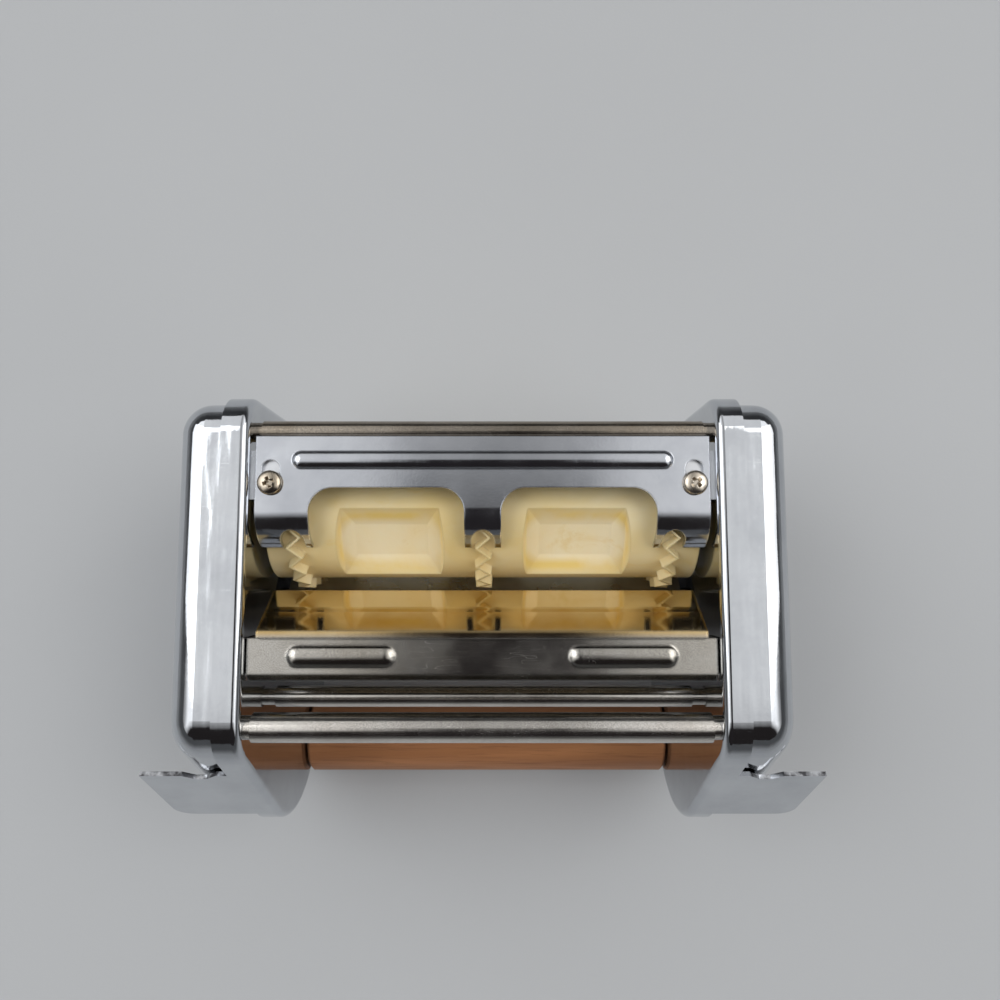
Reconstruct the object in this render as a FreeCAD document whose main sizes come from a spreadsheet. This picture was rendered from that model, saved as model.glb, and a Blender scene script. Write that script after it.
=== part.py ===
import FreeCAD, Part
import math
import os
import Sketcher

# Ravioli maker attachment: two sheet steel sides held apart by tie rods, a pocketed mold roller
# that cuts against a smooth counter roller, two guide plates for the dough and a wooden roller.
# Millimetres, X to the right, Y to the back, Z up, origin on the floor under the middle.

V = FreeCAD.Vector
ALONG_X = FreeCAD.Rotation(V(0, 1, 0), 90)

document = FreeCAD.newDocument("ravioli_maker")

# Driving dimensions
DIMENSIONS = [
    ("inner_width", 120.0, "between the inner faces of the two side frames"),
    ("frame_height", 93.0, "floor to the top edge of the side frames"),
    ("frame_depth", 121.7, "front of the nose to the back edge"),
    ("plate_gauge", 1.2, "sheet of the side frames"),
    ("flange_width", 7.0, "inner face to the outer edge of the frame flange"),
    ("bend_radius", 2.0, "outer radius of the flange bend"),
    ("corner_radius", 10.5, "back corners of the side outline"),
    ("brow_radius", 14.0, "front top corner of the side outline"),
    ("slope_angle", 56.2, "front slope below level, in degrees"),
    ("nose_radius", 30.0, "round front of the side outline"),
    ("nose_height", 37.8, "height of the centre of the nose arc"),
    ("chin_angle", 45.0, "lower front slope, in degrees"),
    ("toe_radius", 10.5, "front foot corner"),
    ("tab_reach", 30.0, "frame inner face to the outer edge of the mounting tab"),
    ("tab_top", 80.0, "height of the tab's upper edge"),
    ("tab_bottom", 53.6, "height of the tab's lower edge"),
    ("tab_corner", 5.0, "lower outer corner radius of the tab"),
    ("tab_notch_start", 10.0, "frame inner face to the notch in the tab"),
    ("tab_notch_width", 9.0, "notch width at the tab's edge"),
    ("tab_notch_floor", 3.0, "notch width at its floor"),
    ("tab_notch_depth", 2.3, "notch depth along the slope"),
    ("cover_gauge", 0.9, "sheet of the side covers"),
    ("cover_reach", 20.0, "frame inner face to the outer face of the cover"),
    ("cover_inset", 1.7, "cover outline inside the frame outline"),
    ("cover_round", 8.0, "round edge of the cover's outer face"),
    ("mold_y", 29.2, "mold roller axis"),
    ("mold_z", 67.0, "mold roller axis"),
    ("mold_radius", 16.3, "lands of the mold roller"),
    ("ridge_height", 2.9, "cutting ridges above the lands"),
    ("ridge_width", 4.3, "width of the zigzag at its tip"),
    ("ridge_tip", 0.9, "wall of the zigzag at its tip"),
    ("ridge_root", 1.5, "wall of the zigzag at its root"),
    ("ridge_sink", 0.4, "foot of a ridge below the lands"),
    ("ridge_turns", 20, "zigzag periods round the roller"),
    ("pocket_pitch", 50.0, "one raviolo to the next along the roller"),
    ("pocket_rows", 3, "pockets round the roller"),
    ("pocket_length", 29.0, "pocket along the roller, at the rim"),
    ("pocket_shoulder_length", 26.4, "pocket along the roller at its shoulder"),
    ("pocket_shoulder", 1.45, "pocket floor to the shoulder of its end walls"),
    ("pocket_floor_length", 19.5, "pocket floor along the roller"),
    ("pocket_floor_width", 9.3, "pocket floor round the roller"),
    ("pocket_depth", 5.0, "land to pocket floor"),
    ("pocket_slant", 76.0, "lean of the pocket's front and back walls, in degrees"),
    ("pocket_lead", 31.0, "first pocket in front of the top at rest, in degrees"),
    ("roller_end_gap", 2.0, "roller end to the frame"),
    ("roller_recess", 5.0, "depth of the recess in a roller end"),
    ("roller_rim", 3.0, "wall outside the recess"),
    ("hub_wall", 4.0, "wall inside the recess"),
    ("gear_module", 1.5, "tooth size of the two gears"),
    ("gear_teeth", 26, "teeth of each gear"),
    ("gear_face", 8.0, "gear width"),
    ("gear_backlash", 0.16, "play between the teeth on the pitch circle"),
    ("nip_angle", 42.0, "counter roller below level, seen from the mold roller, in degrees"),
    ("nip_gap", 0.3, "ridge tips to the counter roller"),
    ("shaft_radius", 5.0, "roller shafts"),
    ("running_gap", 0.05, "radial play of a turning shaft"),
    ("seat_gap", 0.05, "radial play of a fixed or pressed seat"),
    ("bush_wall", 2.0, "shaft bush wall"),
    ("bush_flange", 1.5, "bush flange past its body"),
    ("bush_flange_gauge", 1.0, "thickness of the bush flange"),
    ("bush_length", 5.5, "whole length of a bush"),
    ("stack_gap", 0.3, "end play between pieces on a shaft"),
    ("hub_radius", 6.5, "crank hub at the right end of the mold shaft"),
    ("hub_recess", 1.5, "crank hub behind the cover's outer face"),
    ("socket_radius", 4.0, "crank socket"),
    ("socket_depth", 14.0, "crank socket"),
    ("socket_slot_width", 3.0, "cross slot of the crank socket"),
    ("socket_slot_depth", 3.0, "cross slot of the crank socket"),
    ("crank_hole_gap", 1.5, "crank hub to the hole in the cover"),
    ("clip_gauge", 0.9, "retaining clips"),
    ("clip_depth", 0.8, "depth of a clip groove"),
    ("clip_width", 2.6, "ring width of a clip"),
    ("shaft_tail", 1.2, "shaft past its clip"),
    ("rod_neck", 2.0, "length of the thin neck at each end of a tie rod"),
    ("spigot_radius", 1.5, "threaded ends of the tie rods"),
    ("nut_height", 2.4, "tie rod nuts"),
    ("nut_radius", 3.1, "tie rod nuts across the corners, halved"),
    ("spigot_tail", 0.8, "thread past its nut"),
    ("back_rod_y", 51.4, "back tie rod"),
    ("back_rod_z", 85.2, "back tie rod"),
    ("back_rod_radius", 3.0, "back tie rod"),
    ("back_rod_neck_radius", 2.6, "back tie rod"),
    ("front_rod_y", -24.8, "front tie rod"),
    ("front_rod_z", 87.5, "front tie rod"),
    ("front_rod_radius", 3.75, "front tie rod"),
    ("front_rod_neck_radius", 3.0, "front tie rod"),
    ("middle_rod_y", -20.3, "middle tie rod"),
    ("middle_rod_z", 67.0, "middle tie rod"),
    ("middle_rod_radius", 2.9, "middle tie rod"),
    ("middle_rod_neck_radius", 2.4, "middle tie rod"),
    ("wood_y", -41.2, "wooden roller axis"),
    ("wood_z", 15.0, "wooden roller axis"),
    ("wood_radius", 12.0, "wooden roller"),
    ("wood_round", 0.8, "chamfer at the ends of the wooden roller"),
    ("wood_end_gap", 0.5, "wooden roller end to the frame"),
    ("wood_axle_radius", 3.0, "steel axle in the wooden roller"),
    ("comb_gauge", 1.0, "sheet of the comb plate"),
    ("comb_side_gap", 1.0, "comb plate edge to the frame"),
    ("comb_gap", 2.1, "comb plate above the ridge tips"),
    ("comb_back", 49.7, "back edge of the comb plate"),
    ("comb_bend_start", 31.0, "start of the comb plate's bend"),
    ("comb_bend_radius", 10.8, "outer radius of the comb plate's bend"),
    ("comb_wrap", 66.0, "bend of the comb plate, in degrees"),
    ("comb_tip", 0.6, "straight tip past the bend"),
    ("window_back", 36.2, "back edge of the comb plate's windows"),
    ("window_corner", 6.4, "back corners of the windows"),
    ("notch_half", 3.1, "notch over a ridge, halved"),
    ("notch_back", 25.3, "back edge of the notches"),
    ("prong_width", 1.7, "prong beside a notch"),
    ("rib_back", 45.9, "back edge of the long rib"),
    ("rib_front", 41.0, "front edge of the long rib"),
    ("rib_half", 49.6, "length of the long rib, halved"),
    ("rib_rise", 1.0, "height of the pressed ribs"),
    ("comb_screw_inset", 5.0, "comb plate screws in from the frame"),
    ("comb_screw_y", 37.4, "comb plate screws"),
    ("comb_slot_half", 2.3, "adjusting slot, half its width"),
    ("comb_slot_back", 43.4, "back end of the adjusting slot"),
    ("comb_slot_front", 35.0, "front end of the adjusting slot"),
    ("comb_screw_head", 3.2, "screw head radius"),
    ("comb_screw_head_height", 2.0, "screw head"),
    ("bracket_gauge", 1.5, "comb plate brackets"),
    ("bracket_width", 8.0, "bracket out from the frame"),
    ("bracket_back", 46.0, "back edge of a bracket"),
    ("bracket_front", 33.2, "front edge of a bracket"),
    ("bracket_drop", 9.0, "bracket down the frame"),
    ("screw_radius", 1.9, "thread of the small screws"),
    ("screw_tail", 0.7, "thread past the sheet it holds"),
    ("feed_gauge", 0.8, "sheet of the feed plate"),
    ("feed_lip_gap", 0.5, "feed plate lip to the ridge tips"),
    ("feed_lip_clear", 0.8, "feed plate lip above the counter roller"),
    ("feed_lip_top", 78.4, "lower end of the feed slope"),
    ("feed_crest_y", -0.35, "upper end of the feed slope"),
    ("feed_crest_z", 92.5, "upper end of the feed slope"),
    ("feed_crest_width", 1.9, "width of the fold at the top"),
    ("feed_strip_z", 89.5, "flat strip of the feed plate"),
    ("feed_strip_front", -11.4, "front edge of the flat strip"),
    ("feed_nose_drop", 1.8, "front lip of the strip"),
    ("feed_side_gap", 0.3, "feed plate flange to the frame"),
    ("feed_slope_inset", 3.4, "feed slope edge to the frame"),
    ("feed_flange_drop", 9.5, "side flange below the strip"),
    ("feed_rib_back", -4.0, "back edge of the strip's ribs"),
    ("feed_rib_front", -9.7, "front edge of the strip's ribs"),
    ("feed_rib_inner", 22.0, "inner end of the strip's ribs"),
    ("feed_rib_outer", 49.8, "outer end of the strip's ribs"),
    ("feed_screw_y", -6.6, "feed plate screws"),
    ("feed_screw_drop", 5.0, "feed plate screws below the strip"),
    ("head_radius", 3.4, "pan heads of the side screws"),
    ("head_height", 2.2, "pan heads of the side screws"),
    ("post_radius", 4.0, "cover posts"),
    ("back_post_y", 45.0, "back cover post"),
    ("back_post_z", 21.0, "back cover post"),
    ("front_post_y", -17.0, "front cover post"),
    ("front_post_z", 77.0, "front cover post"),
]
sheet = document.addObject("Spreadsheet::Sheet", "dim")
for row, (alias, amount, meaning) in enumerate(DIMENSIONS, start=1):
    sheet.set("A%d" % row, str(amount))
    sheet.set("B%d" % row, meaning)
    sheet.setAlias("A%d" % row, alias)
document.recompute()


def value(expression):
    """Number that an expression over the sheet gives now."""
    return float(sheet.evalExpression(expression))


class Sizes:
    """Sheet cells as plain numbers, for shapes made by formula."""

    def __getattr__(self, alias):
        return float(sheet.get(alias))


size = Sizes()
EXPORTS = {}

# Places that several pieces share, written as expressions over the sheet
HALF = "dim.inner_width / 2"
PLATE = "(dim.inner_width / 2 + dim.plate_gauge)"
COVER_FACE = "(dim.inner_width / 2 + dim.cover_reach)"
ROLLER_END = "(dim.inner_width / 2 - dim.roller_end_gap)"
BUSH_IN = "(dim.inner_width / 2 - dim.bush_flange_gauge)"
BUSH_OUT = "(dim.inner_width / 2 - dim.bush_flange_gauge + dim.bush_length)"
BORE = "(dim.shaft_radius + dim.seat_gap)"
RIDGE = "(dim.mold_radius + dim.ridge_height)"
CENTRES = "(dim.gear_module * dim.gear_teeth)"
COUNTER_Y = "(dim.mold_y - %s * cos(dim.nip_angle))" % CENTRES
COUNTER_Z = "(dim.mold_z - %s * sin(dim.nip_angle))" % CENTRES
COUNTER_RADIUS = "(%s - %s - dim.nip_gap)" % (CENTRES, RIDGE)
GEAR_IN = "(%s + dim.stack_gap)" % BUSH_OUT
GEAR_OUT = "(%s + dim.gear_face)" % GEAR_IN
CLIP_IN = "(%s + dim.stack_gap)" % GEAR_OUT
CLIP_OUT = "(%s + dim.clip_gauge)" % CLIP_IN
COMB_TOP = "(dim.mold_z + %s + dim.comb_gap + dim.comb_gauge)" % RIDGE
COMB_UNDER = "(%s - dim.comb_gauge)" % COMB_TOP
LIP_Y = "(dim.mold_y - %s - dim.feed_lip_gap)" % RIDGE
NOSE_Y = "(dim.nose_radius - dim.frame_depth / 2)"


# Building helpers
def keep(item, node):
    """Name a finished sub-part and list it for export."""
    item.Label = node
    EXPORTS[node] = item
    return item


def bind(item, **paths):
    """Bind properties to expressions: a double underscore stands for a dot."""
    for path, expression in paths.items():
        item.setExpression(path.replace("__", "."), str(expression))


def origin_plane(body, role):
    return [f for f in body.Origin.OriginFeatures if f.Role == role][0]


def new_body(name):
    return document.addObject("PartDesign::Body", name)


def new_sketch(body, name, role, lift="0"):
    """Sketch on an origin plane of its own body, lifted along the plane's normal."""
    sketch = body.newObject("Sketcher::SketchObject", name)
    sketch.AttachmentSupport = [(origin_plane(body, role), "")]
    sketch.MapMode = "FlatFace"
    sketch.AttachmentOffset = FreeCAD.Placement(V(0, 0, value(lift)), FreeCAD.Rotation())
    bind(sketch, AttachmentOffset__Base__z=lift)
    return sketch


def pin_corner(sketch, geometry, end, a, b):
    """Bind one end of a line or arc to a pair of expressions."""
    pin = sketch.addConstraint(Sketcher.Constraint("DistanceX", -1, 1, geometry, end, value(a)))
    sketch.setExpression("Constraints[%d]" % pin, a)
    pin = sketch.addConstraint(Sketcher.Constraint("DistanceY", -1, 1, geometry, end, value(b)))
    sketch.setExpression("Constraints[%d]" % pin, b)


def polygon(sketch, corners):
    """Closed outline whose corners are pairs of expressions.

    A corner may add a radius and a centre's pair: an arc then runs from it to the next corner.
    """
    first = sketch.GeometryCount
    count = len(corners)
    places = [V(value(corner[0]), value(corner[1]), 0) for corner in corners]
    ends = []
    for i, corner in enumerate(corners):
        start = places[i]
        finish = places[(i + 1) % count]
        if len(corner) == 2:
            sketch.addGeometry(Part.LineSegment(start, finish))
            ends.append((1, 2))
            continue
        centre = V(value(corner[3]), value(corner[4]), 0)
        radius = value(corner[2])
        middle = centre + ((start + finish) * 0.5 - centre).normalize() * radius
        index = sketch.addGeometry(Part.Arc(start, middle, finish))
        pin = sketch.addConstraint(Sketcher.Constraint("Radius", index, radius))
        sketch.setExpression("Constraints[%d]" % pin, corner[2])
        anticlockwise = (start - centre).cross(finish - centre).z > 0
        ends.append((1, 2) if anticlockwise else (2, 1))
    for i in range(count):
        following = (i + 1) % count
        sketch.addConstraint(
            Sketcher.Constraint("Coincident", first + i, ends[i][1], first + following, ends[following][0]))
    for i, corner in enumerate(corners):
        pin_corner(sketch, first + i, ends[i][0], corner[0], corner[1])


def rectangle(sketch, left, right, low, high):
    polygon(sketch, [(left, low), (right, low), (right, high), (left, high)])


def arch(sketch, left, right, low, high, radius):
    """Rectangle with its two upper corners rounded."""
    in_left = "%s + %s" % (left, radius)
    in_right = "%s - %s" % (right, radius)
    spring = "%s - %s" % (high, radius)
    polygon(sketch, [(left, low), (right, low), (right, spring, radius, in_right, spring), (in_right, high),
                     (in_left, high, radius, in_left, spring), (left, spring)])


def circle(sketch, across, up, radius):
    """Circle with its centre and radius bound."""
    index = sketch.addGeometry(Part.Circle(V(value(across), value(up), 0), V(0, 0, 1), value(radius)))
    pin = sketch.addConstraint(Sketcher.Constraint("DistanceX", -1, 1, index, 3, value(across)))
    sketch.setExpression("Constraints[%d]" % pin, across)
    pin = sketch.addConstraint(Sketcher.Constraint("DistanceY", -1, 1, index, 3, value(up)))
    sketch.setExpression("Constraints[%d]" % pin, up)
    pin = sketch.addConstraint(Sketcher.Constraint("Radius", index, value(radius)))
    sketch.setExpression("Constraints[%d]" % pin, radius)


def pad(body, sketch, length, centred=False, reverse=False):
    feature = body.newObject("PartDesign::Pad", sketch.Name + "_pad")
    feature.Profile = sketch
    feature.Midplane = centred
    feature.Reversed = reverse
    bind(feature, Length=length)
    document.recompute()
    return feature


def cut_through(body, sketch, length="500"):
    """Pocket both ways through the whole body."""
    before = body.Shape.Volume
    feature = body.newObject("PartDesign::Pocket", sketch.Name + "_cut")
    feature.Profile = sketch
    feature.Midplane = True
    bind(feature, Length=length)
    document.recompute()
    if not body.Shape.Volume < before:
        raise RuntimeError(sketch.Name + " cuts nothing")
    return feature


def edges_where(shape, test):
    """Names of the edges for which test(edge) holds."""
    return ["Edge%d" % (i + 1) for i, edge in enumerate(shape.Edges) if test(edge)]


def round_edges(body, name, radius, test):
    """Fillet the edges of the body that pass a test."""
    base = body.Tip
    names = edges_where(base.Shape, test)
    if not names:
        raise RuntimeError(name + " finds no edge")
    feature = body.newObject("PartDesign::Fillet", name)
    feature.Base = (base, names)
    bind(feature, Radius=radius)
    document.recompute()
    if "Invalid" in feature.State:
        raise RuntimeError(name + " can't be rounded")
    return feature


def straight_along(edge, axis):
    """True for a straight edge parallel to an axis."""
    if edge.Curve.TypeId != "Part::GeomLine":
        return False
    return abs(abs(edge.Curve.Direction.dot(axis)) - 1) < 1e-6


def edge_near(axis, places, reach=0.05):
    """Test for edges along an axis that pass near one of the places, measured across the axis."""
    def test(edge):
        if not straight_along(edge, axis):
            return False
        middle = edge.CenterOfMass
        return any((middle - p - axis * (middle - p).dot(axis)).Length < reach for p in places)
    return test


def turned(node, y, z, profile):
    """Piece turned about an axis along X: profile is pairs of place along X and radius."""
    body = new_body(node + "_body")
    bind(body, Placement__Base__y=y, Placement__Base__z=z)
    sketch = new_sketch(body, node + "_profile", "XY_Plane")
    polygon(sketch, profile)
    feature = body.newObject("PartDesign::Revolution", node + "_turn")
    feature.Profile = sketch
    feature.ReferenceAxis = (sketch, ["H_Axis"])
    feature.Angle = 360
    document.recompute()
    return keep(body, node)


def minus(expression):
    return "-1 * (%s)" % expression


def x_cylinder(name, start, y, z, radius, length):
    """Cylinder primitive along X, growing to the right from start."""
    item = document.addObject("Part::Cylinder", name)
    item.Placement = FreeCAD.Placement(V(0, 0, 0), ALONG_X)
    bind(item, Radius=radius, Height=length)
    bind(item, Placement__Base__x=start, Placement__Base__y=y, Placement__Base__z=z)
    return item


def box(name, corner, extent):
    item = document.addObject("Part::Box", name)
    bind(item, Length=extent[0], Width=extent[1], Height=extent[2])
    bind(item, Placement__Base__x=corner[0], Placement__Base__y=corner[1], Placement__Base__z=corner[2])
    return item


def cut(name, base, tool):
    item = document.addObject("Part::Cut", name)
    item.Base = base
    item.Tool = tool
    return item


def fuse(name, items):
    item = document.addObject("Part::MultiFuse", name)
    item.Shapes = items
    return item


def group(node, items):
    """Identical pieces that share a node."""
    item = document.addObject("Part::Compound", node + "_group")
    item.Links = items
    return keep(item, node)


def mirrored(node, source):
    """Copy on the other side of the middle plane."""
    item = document.addObject("Part::Mirroring", node + "_mirror")
    item.Source = source
    item.Normal = V(1, 0, 0)
    return keep(item, node)


# Side outline: back edge, top edge, front slope, round nose, chin slope and foot
def side_corners(inset):
    """Corners before rounding, each side moved in by inset."""
    inner_radius = "(dim.nose_radius - %s)" % inset
    back = "(dim.frame_depth / 2 - %s)" % inset
    top = "(dim.frame_height - %s)" % inset
    brow = "(%s - %s / sin(dim.slope_angle) + (%s - dim.nose_height) / tan(dim.slope_angle))" % (
        NOSE_Y, inner_radius, top)
    bisector = "(180 + (dim.slope_angle - dim.chin_angle) / 2)"
    reach = "(%s / cos((180 - dim.slope_angle - dim.chin_angle) / 2))" % inner_radius
    nose_y = "(%s + %s * cos(%s))" % (NOSE_Y, reach, bisector)
    nose_z = "(dim.nose_height + %s * sin(%s))" % (reach, bisector)
    toe = "(%s + (dim.nose_height - %s) / tan(dim.chin_angle) - %s / sin(dim.chin_angle))" % (
        NOSE_Y, inset, inner_radius)
    return {"heel": (back, inset), "crown": (back, top), "brow": (brow, top),
            "nose": (nose_y, nose_z), "toe": (toe, inset)}


def side_form(name, inset, start, width):
    """Solid with the rounded side outline, from start outwards."""
    body = new_body(name)
    corners = side_corners(inset)
    sketch = new_sketch(body, name + "_outline", "YZ_Plane", start)
    polygon(sketch, list(corners.values()))
    pad(body, sketch, width)
    rounds = [("heel", "dim.corner_radius"), ("crown", "dim.corner_radius"), ("brow", "dim.brow_radius"),
              ("nose", "dim.nose_radius"), ("toe", "dim.toe_radius")]
    for corner, radius in rounds:
        across, up = corners[corner]
        place = V(0, value(across), value(up))
        round_edges(body, "%s_%s" % (name, corner), "%s - %s" % (radius, inset),
                    edge_near(V(1, 0, 0), [place]))
    return body


def rim_test(x):
    """Test for the edges that run round the outline in the plane at x."""
    def test(edge):
        box_x = edge.BoundBox
        return abs(box_x.XMin - x) < 1e-4 and abs(box_x.XMax - x) < 1e-4
    return test


def hollow(body, name, open_x, gauge):
    """Turn the solid into a sheet pan, open at the flat face at open_x."""
    base = body.Tip
    faces = ["Face%d" % (i + 1) for i, face in enumerate(base.Shape.Faces)
             if abs(face.BoundBox.XMin - open_x) < 1e-4 and abs(face.BoundBox.XMax - open_x) < 1e-4]
    feature = body.newObject("PartDesign::Thickness", name)
    feature.Base = (base, faces)
    feature.Reversed = True
    bind(feature, Value=gauge)
    document.recompute()
    return feature


# Side frames
FRAME_EDGE = "(dim.inner_width / 2 + dim.flange_width)"
frame = side_form("frame_form", "0", HALF, "dim.flange_width")
hollow(frame, "frame_pan", value(FRAME_EDGE), "dim.plate_gauge")
round_edges(frame, "frame_bend", "dim.bend_radius", rim_test(value(HALF)))

# Mounting tab: the front flange carried on outwards in its own plane, with a hook notch on top
tab = frame.newObject("Sketcher::SketchObject", "tab_outline")
tab.AttachmentSupport = [(origin_plane(frame, "XZ_Plane"), "")]
tab.MapMode = "FlatFace"
tab_origin = side_corners("0")["brow"]
tab.AttachmentOffset = FreeCAD.Placement(
    V(0, value(tab_origin[1]), -value(tab_origin[0])),
    FreeCAD.Rotation(V(1, 0, 0), value("dim.slope_angle - 90")))
bind(tab, AttachmentOffset__Base__y=tab_origin[1], AttachmentOffset__Base__z=minus(tab_origin[0]),
     AttachmentOffset__Rotation__Angle="dim.slope_angle - 90")
TAB_HIGH = "((dim.tab_top - dim.frame_height) / sin(dim.slope_angle))"
TAB_LOW = "((dim.tab_bottom - dim.frame_height) / sin(dim.slope_angle))"
TAB_ROOT = "(dim.inner_width / 2 + dim.bend_radius)"
TAB_OUT = "(dim.inner_width / 2 + dim.tab_reach)"
NOTCH_IN = "(dim.inner_width / 2 + dim.tab_notch_start)"
NOTCH_SIDE = "((dim.tab_notch_width - dim.tab_notch_floor) / 2)"
polygon(tab, [
    (TAB_ROOT, TAB_HIGH),
    (NOTCH_IN, TAB_HIGH),
    ("%s + %s" % (NOTCH_IN, NOTCH_SIDE), "%s - dim.tab_notch_depth" % TAB_HIGH),
    ("%s + %s + dim.tab_notch_floor" % (NOTCH_IN, NOTCH_SIDE), "%s - dim.tab_notch_depth" % TAB_HIGH),
    ("%s + dim.tab_notch_width" % NOTCH_IN, TAB_HIGH),
    (TAB_OUT, TAB_HIGH),
    (TAB_OUT, TAB_LOW),
    (TAB_ROOT, TAB_LOW),
])
pad(frame, tab, "dim.plate_gauge", reverse=True)
slope = V(0, math.cos(math.radians(size.slope_angle)), math.sin(math.radians(size.slope_angle)))
through_tab = V(0, -slope.z, slope.y)
brow_place = V(0, value(tab_origin[0]), value(tab_origin[1]))
low_corner = brow_place + slope * value(TAB_LOW) + V(value(TAB_OUT), 0, 0)
round_edges(frame, "tab_corner_round", "dim.tab_corner", edge_near(through_tab, [low_corner]))

# Holes for bushes, tie rods, wooden roller axle and feed plate screws
SPIGOT_HOLE = "dim.spigot_radius + dim.seat_gap"
SCREW_HOLE = "dim.screw_radius + dim.seat_gap"
FEED_SCREW_Z = "(dim.feed_strip_z - dim.feed_screw_drop)"
holes = new_sketch(frame, "frame_holes", "YZ_Plane", HALF)
BUSH_SEAT = "%s + dim.bush_wall + dim.seat_gap" % BORE
circle(holes, "dim.mold_y", "dim.mold_z", BUSH_SEAT)
circle(holes, COUNTER_Y, COUNTER_Z, BUSH_SEAT)
RODS = ["back_rod", "front_rod", "middle_rod", "wood"]
for rod in RODS:
    circle(holes, "dim.%s_y" % rod, "dim.%s_z" % rod, SPIGOT_HOLE)
circle(holes, "dim.feed_screw_y", FEED_SCREW_Z, SCREW_HOLE)
cut_through(frame, holes, "2 * dim.plate_gauge + 2")
keep(frame, "right_frame")
mirrored("left_frame", frame)

# Side covers: deep drawn pans that stand on the frames, inside the flange
cover = side_form("cover_form", "dim.cover_inset", PLATE, "dim.cover_reach - dim.plate_gauge")
round_edges(cover, "cover_edge", "dim.cover_round", rim_test(value(COVER_FACE)))
hollow(cover, "cover_pan", value(PLATE), "dim.cover_gauge")
POSTS = ["back_post", "front_post"]
cover_holes = new_sketch(cover, "cover_holes", "YZ_Plane", COVER_FACE)
for post in POSTS:
    circle(cover_holes, "dim.%s_y" % post, "dim.%s_z" % post, SCREW_HOLE)
cut_through(cover, cover_holes, "4 * dim.cover_gauge")
mirrored("left_cover", cover)
crank_hole = x_cylinder("crank_hole", "%s - 2 * dim.cover_gauge" % COVER_FACE, "dim.mold_y", "dim.mold_z",
                        "dim.hub_radius + dim.crank_hole_gap", "4 * dim.cover_gauge")
keep(cut("right_cover_cut", cover, crank_hole), "right_cover")


# Tie rods: a thick middle, a thin neck and a spigot through each frame, threaded or riveted flush
THREAD_END = "(%s + dim.nut_height + dim.spigot_tail)" % PLATE


def tie_rod(node, name, tail):
    neck = "(%s - dim.rod_neck)" % HALF
    radius = "dim.%s_radius" % name
    thin = "dim.%s_neck_radius" % name
    turned(node, "dim.%s_y" % name, "dim.%s_z" % name, [
        (minus(tail), "0"), (tail, "0"), (tail, "dim.spigot_radius"), (HALF, "dim.spigot_radius"),
        (HALF, thin), (neck, thin), (neck, radius), (minus(neck), radius), (minus(neck), thin),
        (minus(HALF), thin), (minus(HALF), "dim.spigot_radius"), (minus(tail), "dim.spigot_radius")])


tie_rod("back_tie_rod", "back_rod", THREAD_END)
tie_rod("front_tie_rod", "front_rod", PLATE)
tie_rod("middle_tie_rod", "middle_rod", THREAD_END)

turned("wooden_roller_axle", "dim.wood_y", "dim.wood_z", [
    (minus(THREAD_END), "0"), (THREAD_END, "0"), (THREAD_END, "dim.spigot_radius"),
    (HALF, "dim.spigot_radius"), (HALF, "dim.wood_axle_radius"), (minus(HALF), "dim.wood_axle_radius"),
    (minus(HALF), "dim.spigot_radius"), (minus(THREAD_END), "dim.spigot_radius")])

# Nuts on the threaded spigots of both sides
THREADED = ["back_rod", "middle_rod", "wood"]
for side, start in (("left", "-1 * (%s + dim.nut_height)" % PLATE), ("right", PLATE)):
    nuts = []
    for rod in THREADED:
        blank = document.addObject("Part::Prism", "%s_%s_nut_blank" % (side, rod))
        blank.Polygon = 6
        blank.Placement = FreeCAD.Placement(V(0, 0, 0), ALONG_X)
        bind(blank, Circumradius="dim.nut_radius", Height="dim.nut_height")
        bind(blank, Placement__Base__x=start, Placement__Base__y="dim.%s_y" % rod,
             Placement__Base__z="dim.%s_z" % rod)
        thread = x_cylinder("%s_%s_nut_thread" % (side, rod), "%s - 1" % start, "dim.%s_y" % rod,
                            "dim.%s_z" % rod, SPIGOT_HOLE, "dim.nut_height + 2")
        nuts.append(cut("%s_%s_nut" % (side, rod), blank, thread))
    group("%s_tie_rod_nuts" % side, nuts)

# Wooden roller, free on its axle
WOOD_END = "(%s - dim.wood_end_gap)" % HALF
WOOD_BORE = "dim.wood_axle_radius + dim.running_gap"
turned("wooden_roller", "dim.wood_y", "dim.wood_z", [
    (minus(WOOD_END), WOOD_BORE), (WOOD_END, WOOD_BORE), (WOOD_END, "dim.wood_radius - dim.wood_round"),
    ("%s - dim.wood_round" % WOOD_END, "dim.wood_radius"),
    ("dim.wood_round - %s" % WOOD_END, "dim.wood_radius"),
    (minus(WOOD_END), "dim.wood_radius - dim.wood_round")])

# Shaft bushes, flanged on the inner side of each frame
BUSH_BORE = "(dim.shaft_radius + dim.running_gap)"
BUSH_RADIUS = "(%s + dim.bush_wall)" % BORE
AXES = {"mold": ("dim.mold_y", "dim.mold_z"), "counter": (COUNTER_Y, COUNTER_Z)}
for shaft, (y, z) in AXES.items():
    for side, sign in (("left", "-1"), ("right", "1")):
        turned("%s_%s_bush" % (side, shaft), y, z, [
            ("%s * %s" % (sign, BUSH_IN), BUSH_BORE), ("%s * %s" % (sign, BUSH_OUT), BUSH_BORE),
            ("%s * %s" % (sign, BUSH_OUT), BUSH_RADIUS), ("%s * (%s)" % (sign, HALF), BUSH_RADIUS),
            ("%s * (%s)" % (sign, HALF), "%s + dim.bush_flange" % BUSH_RADIUS),
            ("%s * %s" % (sign, BUSH_IN), "%s + dim.bush_flange" % BUSH_RADIUS)])

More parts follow.
